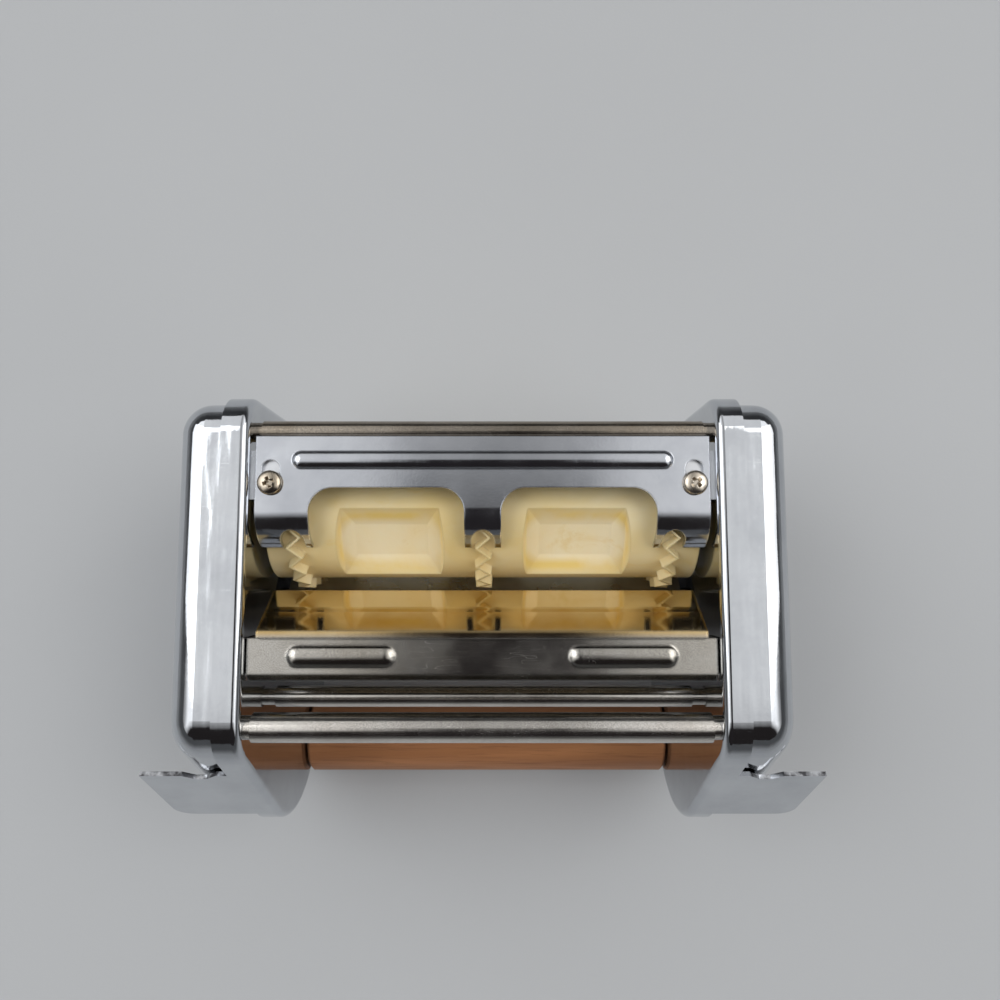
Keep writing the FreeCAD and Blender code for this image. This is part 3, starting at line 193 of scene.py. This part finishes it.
def metal(name, colour, dark, rough, grain, scratch_stretch, ripple=SLIGHT_RIPPLE, ripple_stretch=EVEN,
          sparkle=0.0, soft_edge=0.0):
    """Plated metal: patchy gloss, fine grain, hair scratches and a slow ripple in the sheet.

    rough is the roughness where clean and where worn, grain and ripple are pairs of height and
    scale, sparkle is how far dark specks show and soft_edge is the radius of the edges.
    """
    material, tree, shader = new_material(name, Metallic=1.0)
    grain_height, grain_scale = grain
    ripple_height, ripple_scale = ripple
    patches = noise(tree, 45.0, detail=5.0, roughness=0.6)
    plated = mix(tree, remap(tree, patches, 0.42, 0.68), colour, dark)
    if sparkle:
        specks = remap(tree, noise(tree, grain_scale, detail=1.0), 0.35, 0.65, sparkle, 0.0)
        plated = mix(tree, specks, plated, SPECK_COLOUR)
    tree.links.new(plated, shader.inputs["Base Color"])
    lines = scratches(tree, scratch_stretch, SCRATCH_SCALE, SCRATCH_WIDTH)
    worn = remap(tree, noise(tree, 130.0, detail=4.0), 0.35, 0.7, *rough)
    rougher = calculate(tree, "MULTIPLY_ADD", lines, SCRATCH_ROUGHNESS, worn)
    tree.links.new(rougher, shader.inputs["Roughness"])
    edges = soft_edges(tree, soft_edge) if soft_edge else None
    slow = noise(tree, ripple_scale, ripple_stretch, detail=2.5, roughness=0.62)
    rippled = add_bump(tree, shader, slow, ripple_height, after=edges)
    add_bump(tree, shader, noise(tree, grain_scale, detail=2.0), grain_height, after=rippled)
    return material


chrome = metal("chrome", (0.60, 0.62, 0.65), (0.50, 0.52, 0.55), rough=(0.05, 0.12),
               grain=(0.000005, 900.0), scratch_stretch=(1, 14, 3), ripple=(0.00016, 130.0),
               ripple_stretch=(1, 0.14, 0.12))
comb_chrome = metal("comb_chrome", (0.60, 0.62, 0.66), (0.50, 0.52, 0.56), rough=(0.08, 0.17),
                    grain=(0.000005, 1400.0), scratch_stretch=(9, 1, 2), ripple=(0.00003, 55.0),
                    soft_edge=0.0005)
feed_metal = metal("feed_metal", (0.52, 0.50, 0.46), (0.42, 0.39, 0.34), rough=(0.12, 0.20),
                   grain=(0.000006, 3800.0), scratch_stretch=(2, 12, 2), ripple=(0.00003, 55.0),
                   sparkle=0.30, soft_edge=0.0009)
# The back tie rod's nickel is darker and browner than the other rods': brown tarnish, with painted shade in
# its darkness
tarnished_shaded_nickel = metal("tarnished_shaded_nickel", (0.42, 0.37, 0.31), (0.30, 0.25, 0.19), rough=(0.16, 0.26),
                    grain=(0.000006, 3600.0), scratch_stretch=(2, 30, 30), sparkle=0.4)
nickel = metal("nickel", (0.76, 0.73, 0.68), (0.62, 0.58, 0.53), rough=(0.15, 0.23),
               grain=(0.000007, 3600.0), scratch_stretch=(2, 30, 30), sparkle=0.30)
counter_metal = metal("counter_metal", (0.60, 0.60, 0.60), (0.50, 0.50, 0.50), rough=(0.26, 0.38),
                      grain=(0.000010, 1700.0), scratch_stretch=(2, 20, 20))
zinc = metal("zinc", (0.60, 0.61, 0.63), (0.48, 0.49, 0.51), rough=(0.24, 0.40),
             grain=(0.000008, 1200.0), scratch_stretch=(5, 5, 5))
zinc_screw = metal("zinc_screw", (0.58, 0.52, 0.44), (0.42, 0.36, 0.28), rough=(0.16, 0.34),
                   grain=(0.000008, 1500.0), scratch_stretch=(5, 5, 5))
bronze = metal("bush_bronze", (0.62, 0.47, 0.26), (0.48, 0.34, 0.18), rough=(0.34, 0.50),
               grain=(0.000012, 2600.0), scratch_stretch=(5, 5, 5))

# The feed slope is polished and creased near its top. Its golden tint is a painted reflection of the cream
# roller, mottled and paler above the crease; the flat strip stays satin
STRIP_DEPTH = 0.0110
CREASE_SHARE = 0.62
FOLD_BLEND = 0.0015
PALE_BAND_EDGE = 0.0003
CREASE_FRONT = 0.0009
CREASE_BACK = 0.0003
CREASE_HEIGHT = 0.00012
SLOPE_SMOOTHER = -0.09
REFLECTION_GOLD = (0.62, 0.47, 0.25)
REFLECTION_DEEP_GOLD = (0.54, 0.38, 0.17)
REFLECTION_PALE_GOLD = (0.66, 0.53, 0.31)
tree = feed_metal.node_tree
shader = tree.nodes["Principled BSDF"]
feed_low, feed_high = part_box("feed_plate")
FOLD_Y = feed_low[1] + STRIP_DEPTH
CREASE_Y = FOLD_Y + CREASE_SHARE * (feed_high[1] - FOLD_Y)
along_y = part_of(tree, coordinate(tree, "Object"), "Y")
on_slope = remap(tree, along_y, FOLD_Y, FOLD_Y + FOLD_BLEND)
# Painted reflection: the slope's golden colour stands in for the cream roller's warm reflection, mottled at
# random and paler above the crease
gold_mottle = noise(tree, 70.0, detail=4.0, roughness=0.6)
reflected_gold = mix(tree, remap(tree, gold_mottle, 0.35, 0.65), REFLECTION_GOLD, REFLECTION_DEEP_GOLD)
reflected_gold = mix(tree, remap(tree, along_y, CREASE_Y - PALE_BAND_EDGE, CREASE_Y, 1.0, 0.0), REFLECTION_PALE_GOLD, reflected_gold)
lay_over(tree, shader, on_slope, reflected_gold)
smoother = calculate(tree, "MULTIPLY_ADD", on_slope, SLOPE_SMOOTHER, present(shader, "Roughness"))
tree.links.new(smoother, shader.inputs["Roughness"])
crease = remap(tree, along_y, CREASE_Y - CREASE_FRONT, CREASE_Y + CREASE_BACK)
add_bump(tree, shader, crease, CREASE_HEIGHT, after=present(shader, "Normal"))

# Painted shade darkens the strip's front lip, where the surface faces forward: a near-black colour stands in
# for the shade there
LIP_PAINTED_SHADE = (0.09, 0.085, 0.08)
LIP_FACING = (-0.85, -0.40)
LIP_SHADE_COVER = 0.8
shaded_front_lip = remap(tree, part_of(tree, coordinate(tree, "Normal"), "Y"), *LIP_FACING, LIP_SHADE_COVER, 0.0)
lay_over(tree, shader, shaded_front_lip, LIP_PAINTED_SHADE)

# The mounting tabs are painted a dark mottle where they face back, on their sheared upper edges and on their
# back faces: dull bare metal with painted shade
TAB_FACING = (0.25, 0.40)
TAB_Y = (-0.032, -0.028)
BARE_SHADE_DARK = (0.07, 0.07, 0.075)
BARE_LIGHT = (0.42, 0.43, 0.45)
tree = chrome.node_tree
shader = tree.nodes["Principled BSDF"]
faces_back = remap(tree, part_of(tree, coordinate(tree, "Normal"), "Y"), *TAB_FACING)
at_tabs = remap(tree, part_of(tree, coordinate(tree, "Object"), "Y"), *TAB_Y, 1.0, 0.0)
bite = noise(tree, 420.0, detail=3.0)
shaded_bare = mix(tree, remap(tree, bite, 0.42, 0.62), BARE_SHADE_DARK, BARE_LIGHT)
lay_over(tree, shader, calculate(tree, "MULTIPLY", faces_back, at_tabs), shaded_bare)

# Cream plastic, whiter in the pockets, with yellow stains and a mould grain
POCKET_TO_LAND = (0.0128, 0.0160)
RIM_STARTS = (0.0126, 0.0140)
RIM_ENDS = (0.0146, 0.0161)
CREAM_EDGE = 0.0006
CREAM_GRAIN = 0.00002
POCKET_CREAM = (0.97, 0.85, 0.60)
POCKET_YELLOW = (0.95, 0.78, 0.46)
LAND_CREAM = (0.82, 0.69, 0.41)
LAND_YELLOW = (0.80, 0.62, 0.28)
STAIN_COLOUR = (0.80, 0.56, 0.14)
RIM_COLOUR = (0.88, 0.66, 0.22)
cream, tree, shader = new_material("cream_plastic", Subsurface_Weight=0.12, Subsurface_Scale=0.002,
                                   Coat_Weight=0.2, Coat_Roughness=0.2)
shader.inputs["Subsurface Radius"].default_value = (1.0, 0.75, 0.35)
roller_low, roller_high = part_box("mold_roller")
ROLLER_MIDDLE = [(low + high) / 2 for low, high in zip(roller_low, roller_high)]
from_middle = calculate_vector(tree, "SUBTRACT", place_by_object(tree), ROLLER_MIDDLE)
across_axis = calculate_vector(tree, "MULTIPLY", from_middle, (0, 1, 1))
radius = calculate_vector(tree, "LENGTH", across_axis, output="Value")
clouds = noise(tree, 38.0, detail=4.0, roughness=0.6, distortion=0.6)
patchy = remap(tree, clouds, 0.36, 0.66)
pocket_colour = mix(tree, patchy, POCKET_CREAM, POCKET_YELLOW)
land_colour = mix(tree, patchy, LAND_CREAM, LAND_YELLOW)
body_colour = mix(tree, remap(tree, radius, *POCKET_TO_LAND), pocket_colour, land_colour)
blots = noise(tree, 62.0, (1.0, 1.4, 1.4), detail=5.0, roughness=0.7, distortion=1.2)
stained = mix(tree, remap(tree, blots, 0.57, 0.74, 0.0, 0.40), body_colour, STAIN_COLOUR)
# Dough oil gathers at the rims of the pockets
rim = calculate(tree, "MULTIPLY", remap(tree, radius, *RIM_STARTS), remap(tree, radius, *RIM_ENDS, 1.0, 0.0))
uneven = remap(tree, noise(tree, 90.0, detail=3.0), 0.36, 0.60, 0.1, 0.95)
oiled = mix(tree, calculate(tree, "MULTIPLY", rim, uneven), stained, RIM_COLOUR)
tree.links.new(oiled, shader.inputs["Base Color"])
gloss = remap(tree, noise(tree, 210.0, detail=4.0), 0.3, 0.7, 0.28, 0.44)
tree.links.new(gloss, shader.inputs["Roughness"])
add_bump(tree, shader, noise(tree, 1500.0, detail=3.0), CREAM_GRAIN, after=soft_edges(tree, CREAM_EDGE))

# Oiled wood, grain along the roller
WOOD_LIGHT = (0.53, 0.228, 0.090)
WOOD_DARK = (0.39, 0.158, 0.060)
FIBRE_COLOUR = (0.22, 0.085, 0.038)
WOOD_GRAIN = 0.00006
wood, tree, shader = new_material("roller_wood", Coat_Weight=0.05, Coat_Roughness=0.4)
fibre = noise(tree, 14.0, (3.5, 60, 60), detail=6.0, roughness=0.65, distortion=0.3)
bands = noise(tree, 9.0, (1.2, 14, 14), detail=3.0, distortion=0.8)
wood_colour = mix(tree, remap(tree, bands, 0.35, 0.68), WOOD_LIGHT, WOOD_DARK)
dark_fibre = remap(tree, fibre, 0.52, 0.70, 0.0, 0.55)
tree.links.new(mix(tree, dark_fibre, wood_colour, FIBRE_COLOUR), shader.inputs["Base Color"])
tree.links.new(remap(tree, fibre, 0.3, 0.7, 0.42, 0.62), shader.inputs["Roughness"])
add_bump(tree, shader, fibre, WOOD_GRAIN)

FINISHES = {
    chrome: ["left_frame", "right_frame", "left_cover", "right_cover", "left_cover_screws",
             "right_cover_screws"],
    comb_chrome: ["comb_plate"],
    feed_metal: ["feed_plate"],
    tarnished_shaded_nickel: ["back_tie_rod"],
    nickel: ["front_tie_rod", "middle_tie_rod", "comb_plate_screws"],
    counter_metal: ["counter_roller"],
    zinc: ["wooden_roller_axle", "left_tie_rod_nuts", "right_tie_rod_nuts", "left_comb_bracket",
           "right_comb_bracket", "feed_plate_screws", "left_cover_posts", "right_cover_posts", "mold_shaft",
           "mold_gear", "mold_shaft_clip", "counter_shaft", "counter_gear", "counter_shaft_clips"],
    bronze: ["left_mold_bush", "right_mold_bush", "left_counter_bush", "right_counter_bush"],
    cream: ["mold_roller"],
    wood: ["wooden_roller"],
}
for material, names in FINISHES.items():
    for name in names:
        for slot in nodes[name].material_slots:
            slot.material = material


# Mesh helpers
def rings_about_z(mesh, rows, segments):
    """Rings of vertices about Z, one for each pair of radius and height."""
    turns = [2 * math.pi * k / segments for k in range(segments)]
    return [[mesh.verts.new((r * math.cos(t), r * math.sin(t), z)) for t in turns] for r, z in rows]


def lathe(profile, segments):
    """Closed mesh turned about Z from pairs of radius and height, the first and last on the axis."""
    mesh = bmesh.new()
    bottom = mesh.verts.new((0, 0, profile[0][1]))
    top = mesh.verts.new((0, 0, profile[-1][1]))
    rings = rings_about_z(mesh, profile[1:-1], segments)
    for k in range(segments):
        following = (k + 1) % segments
        mesh.faces.new((bottom, rings[0][following], rings[0][k]))
        mesh.faces.new((top, rings[-1][k], rings[-1][following]))
        for low, high in zip(rings, rings[1:]):
            mesh.faces.new((low[k], low[following], high[following], high[k]))
    return mesh


def to_object(name, mesh, smooth=True):
    data = bpy.data.meshes.new(name)
    for face in mesh.faces:
        face.smooth = smooth
    mesh.to_mesh(data)
    mesh.free()
    item = bpy.data.objects.new(name, data)
    bpy.context.scene.collection.objects.link(item)
    return item


# Pan head screws with a cross recess stand in for the plain CAD ones. Shares of the shank's radius:
TIP_SHARE = 0.8
TIP_BEVEL_SHARE = 0.3
# Shares of the head's radius:
SEAT_SHARE = 0.97
RECESS_REACH = 0.56
RECESS_HALF_WIDTH = 0.14
# Shares of the head's height:
RIM_SHARE = 0.42
DOME_SHARE = 0.58
RECESS_DEPTH = 0.62
# The recess narrows at its bottom and widens above the head, its arms' width by less than their reach
RECESS_NARROW = 0.45
RECESS_WIDE = 1.3
WIDTH_KEPT = 0.7
WIDTH_SHRUNK = 0.3
SCREW_SEGMENTS = 48
SHANK_RADIUS = 0.0019


def cross_cutter(reach, width, depth, top):
    """Two crossed wedges that narrow towards the bottom of the recess."""
    mesh = bmesh.new()
    for quarter in (0, 1):
        corners = []
        for height, shrink in ((top - depth, RECESS_NARROW), (top + depth, RECESS_WIDE)):
            for x, y in ((-reach, -width), (reach, -width), (reach, width), (-reach, width)):
                place = (x * shrink, y * (WIDTH_KEPT + WIDTH_SHRUNK * shrink))
                corners.append(mesh.verts.new((place[0], place[1], height) if quarter == 0
                                              else (-place[1], place[0], height)))
        for face in ((3, 2, 1, 0), (4, 5, 6, 7), (0, 1, 5, 4), (1, 2, 6, 5), (2, 3, 7, 6), (3, 0, 4, 7)):
            mesh.faces.new([corners[k] for k in face])
    return mesh


def pan_screw(name, head_radius, head_height, shank_radius, shank_length):
    """Screw along Z, its head resting on the plane at zero."""
    angles = [math.radians(degrees) for degrees in range(0, 90, 10)]
    dome = [(head_radius * math.cos(a), head_height * (RIM_SHARE + DOME_SHARE * math.sin(a))) for a in angles]
    profile = [(0, -shank_length), (shank_radius * TIP_SHARE, -shank_length),
               (shank_radius, -shank_length + shank_radius * TIP_BEVEL_SHARE), (shank_radius, 0),
               (head_radius * SEAT_SHARE, 0)] + dome + [(0, head_height)]
    screw = to_object(name, lathe(profile, SCREW_SEGMENTS))
    cutter = cross_cutter(head_radius * RECESS_REACH, head_radius * RECESS_HALF_WIDTH,
                          head_height * RECESS_DEPTH, head_height)
    tool = to_object(name + "_tool", cutter, smooth=False)
    cutting = screw.modifiers.new("recess", "BOOLEAN")
    cutting.operation = "DIFFERENCE"
    cutting.object = tool
    cutting.solver = "EXACT"
    cutting.use_self = True
    cut = screw.evaluated_get(bpy.context.evaluated_depsgraph_get())
    screw.data = bpy.data.meshes.new_from_object(cut)
    screw.modifiers.clear()
    bpy.data.objects.remove(tool)
    return screw


def replace_screws(node, axis, places, seat, head_radius, head_height, shank_length, turns):
    """One detailed screw at each place: places are the two coordinates across the axis."""
    for k, (place, turn) in enumerate(zip(places, turns)):
        screw = pan_screw("%s_%d" % (node, k + 1), head_radius, head_height, SHANK_RADIUS, shank_length)
        spin = Matrix.Rotation(math.radians(turn), 4, "Z")
        if axis == "z":
            stand = Matrix.Translation((place[0], place[1], seat))
        else:
            lean = Matrix.Rotation(math.radians(90 if axis == "x" else -90), 4, "Y")
            stand = Matrix.Translation((seat, place[0], place[1])) @ lean
        screw.data.transform(stand @ spin)
        screw.data.materials.clear()
        screw.data.materials.append(zinc_screw if axis == "z" else chrome)
        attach(screw, "base")
        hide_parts(node)


COMB_HEAD = 0.0032
COMB_HEAD_HEIGHT = 0.0020
COMB_TURNS = [20, 40]
comb_low, comb_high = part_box("comb_plate_screws")
comb_y = (comb_low[1] + comb_high[1]) / 2
comb_places = [(comb_low[0] + COMB_HEAD, comb_y), (comb_high[0] - COMB_HEAD, comb_y)]
replace_screws("comb_plate_screws", "z", comb_places, comb_high[2] - COMB_HEAD_HEIGHT, COMB_HEAD,
               COMB_HEAD_HEIGHT, comb_high[2] - comb_low[2] - COMB_HEAD_HEIGHT, COMB_TURNS)
SIDE_HEAD = 0.0034
SIDE_HEAD_HEIGHT = 0.0022
SIDE_TURNS = [10, 65]
for node, axis in (("left_cover_screws", "-x"), ("right_cover_screws", "x")):
    low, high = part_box(node)
    front = (low[1] + SIDE_HEAD, high[2] - SIDE_HEAD)
    back = (high[1] - SIDE_HEAD, low[2] + SIDE_HEAD)
    seat = high[0] - SIDE_HEAD_HEIGHT if axis == "x" else low[0] + SIDE_HEAD_HEIGHT
    replace_screws(node, axis, [front, back], seat, SIDE_HEAD, SIDE_HEAD_HEIGHT,
                   high[0] - low[0] - SIDE_HEAD_HEIGHT, SIDE_TURNS)

# Floor: pale and plain, curving up all round far off, where its rim is painted dark: painted shade standing
# in for the dim room
PAPER_LIGHT = (0.535, 0.547, 0.560)
PAPER_DARK = (0.512, 0.524, 0.537)
PAPER_FAR = (0.60, 0.61, 0.62)
PAPER_RIM_SHADE = (0.20, 0.205, 0.21)
FAR_OFF = (0.6, 2.2)
RIM_FADE = (0.3, 1.3)
PAPER_GRAIN = 0.00003
FLAT_RADII = (0.4, 1.2, 2.2)
FLOOR_RADIUS = 3.0
CURVE_RADIUS = 1.0
RIM_HEIGHT = 2.4
AROUND = 96
floor_material, tree, shader = new_material("floor_paper", Roughness=0.75)
mottle = remap(tree, noise(tree, 4.0, detail=3.0), 0.3, 0.7)
near_paper = mix(tree, mottle, PAPER_LIGHT, PAPER_DARK)
distance = calculate_vector(tree, "LENGTH", place_by_object(tree), output="Value")
far_paper = mix(tree, remap(tree, distance, *FAR_OFF), near_paper, PAPER_FAR)
# Painted shade: the rim darkens going up, standing in for the dim room
painted_rim_shade = remap(tree, part_of(tree, coordinate(tree, "Object"), "Z"), *RIM_FADE)
tree.links.new(mix(tree, painted_rim_shade, far_paper, PAPER_RIM_SHADE), shader.inputs["Base Color"])
add_bump(tree, shader, noise(tree, 900.0, detail=3.0), PAPER_GRAIN)
curve = [math.radians(degrees) for degrees in range(0, 91, 5)]
rows = [(flat, 0.0) for flat in FLAT_RADII]
rows += [(FLOOR_RADIUS + CURVE_RADIUS * math.sin(a), CURVE_RADIUS * (1 - math.cos(a))) for a in curve]
rows.append((FLOOR_RADIUS + CURVE_RADIUS, RIM_HEIGHT))
sheet = bmesh.new()
middle = sheet.verts.new((0, 0, 0))
rings = rings_about_z(sheet, rows, AROUND)
for k in range(AROUND):
    following = (k + 1) % AROUND
    sheet.faces.new((middle, rings[0][k], rings[0][following]))
    for near, far in zip(rings, rings[1:]):
        sheet.faces.new((near[k], far[k], far[following], near[following]))
floor = to_object("floor", sheet)
floor.data.materials.append(floor_material)

# Soft room light: two large lamps, one to each side, and a dim world
LAMP_SIDE = 1.15
LAMP_BACK = 0.35
LAMP_HEIGHT = 1.2
LAMP_SIZE = (1.1, 1.3)
LAMP_POWER = 7.2
LAMP_TARGET = (0, 0, 0.05)
COOL_WHITE = (0.97, 0.985, 1.0)
WARM_WHITE = (1.0, 0.99, 0.97)
for name, side, colour in (("window_left", -1, COOL_WHITE), ("window_right", 1, WARM_WHITE)):
    place = (side * LAMP_SIDE, LAMP_BACK, LAMP_HEIGHT)
    data = bpy.data.lights.new(name, "AREA")
    data.shape = "RECTANGLE"
    data.size, data.size_y = LAMP_SIZE
    data.energy = LAMP_POWER
    data.color = colour
    lamp = bpy.data.objects.new(name, data)
    lamp.location = place
    lamp.rotation_euler = (Vector(LAMP_TARGET) - Vector(place)).to_track_quat("-Z", "Y").to_euler()
    bpy.context.scene.collection.objects.link(lamp)

# The room is bright to both sides overhead, dim in line with the object and near the horizon,
# and dark where whoever takes the picture stands
ACROSS_STOPS = [(0.0, 0.25), (0.10, 0.31), (0.18, 0.56), (0.28, 0.60), (0.38, 0.66), (0.43, 1.0),
                (0.65, 1.0), (0.76, 0.40), (0.90, 0.06), (1.0, 0.03)]
UPWARD_STOPS = [(0.0, 0.12), (0.25, 0.36), (0.55, 1.0)]
ROOM_STRENGTH = 1.5
PERSON_DIRECTION = (0, -0.86, 0.51)
PERSON_NEAR = 38
PERSON_FAR = 53
PERSON_COLOUR = (0.015, 0.013, 0.013)
world = bpy.data.worlds.new("room")
world.use_nodes = True
bpy.context.scene.world = world
tree = world.node_tree
background = tree.nodes["Background"]
sky_direction = coordinate(tree, "Generated")
sideways = calculate(tree, "ABSOLUTE", part_of(tree, sky_direction, "X"))
across = ramp(tree, sideways, ACROSS_STOPS)
upward = ramp(tree, part_of(tree, sky_direction, "Z"), UPWARD_STOPS)
room = mix(tree, 1.0, across, upward, "MULTIPLY")
toward_person = calculate_vector(tree, "DOT_PRODUCT", sky_direction, Vector(PERSON_DIRECTION).normalized(),
                                 output="Value")
outside, inside = (math.cos(math.radians(degrees)) for degrees in (PERSON_FAR, PERSON_NEAR))
at_person = remap(tree, toward_person, outside, inside)
person = mix(tree, at_person, room, PERSON_COLOUR)
# The hands and phone above: a dark patch that is narrow from side to side
HELD_ACROSS = (0.10, 0.19)
HELD_FRONT = (0.02, 0.16)
HELD_COLOUR = (0.016, 0.014, 0.015)
narrow = remap(tree, sideways, *HELD_ACROSS, 1.0, 0.0)
in_front = remap(tree, part_of(tree, sky_direction, "Y"), *HELD_FRONT, 1.0, 0.0)
sky = mix(tree, calculate(tree, "MULTIPLY", narrow, in_front), person, HELD_COLOUR)
tree.links.new(sky, background.inputs["Color"])
background.inputs["Strength"].default_value = ROOM_STRENGTH

# Camera: nearly straight down, close, as the photograph was taken
CAMERA_PLACE = (0.0045, 0.01435, 0.2825)
CAMERA_TILT = 5.5
camera_data = bpy.data.cameras.new("camera")
camera_data.lens = 27.04
camera_data.sensor_width = 36.0
camera_data.clip_start = 0.01
camera = bpy.data.objects.new("camera", camera_data)
camera.location = CAMERA_PLACE
camera.rotation_euler = (math.radians(CAMERA_TILT), 0, 0)
bpy.context.scene.collection.objects.link(camera)
bpy.context.scene.camera = camera
bpy.context.scene.view_settings.view_transform = "Standard"
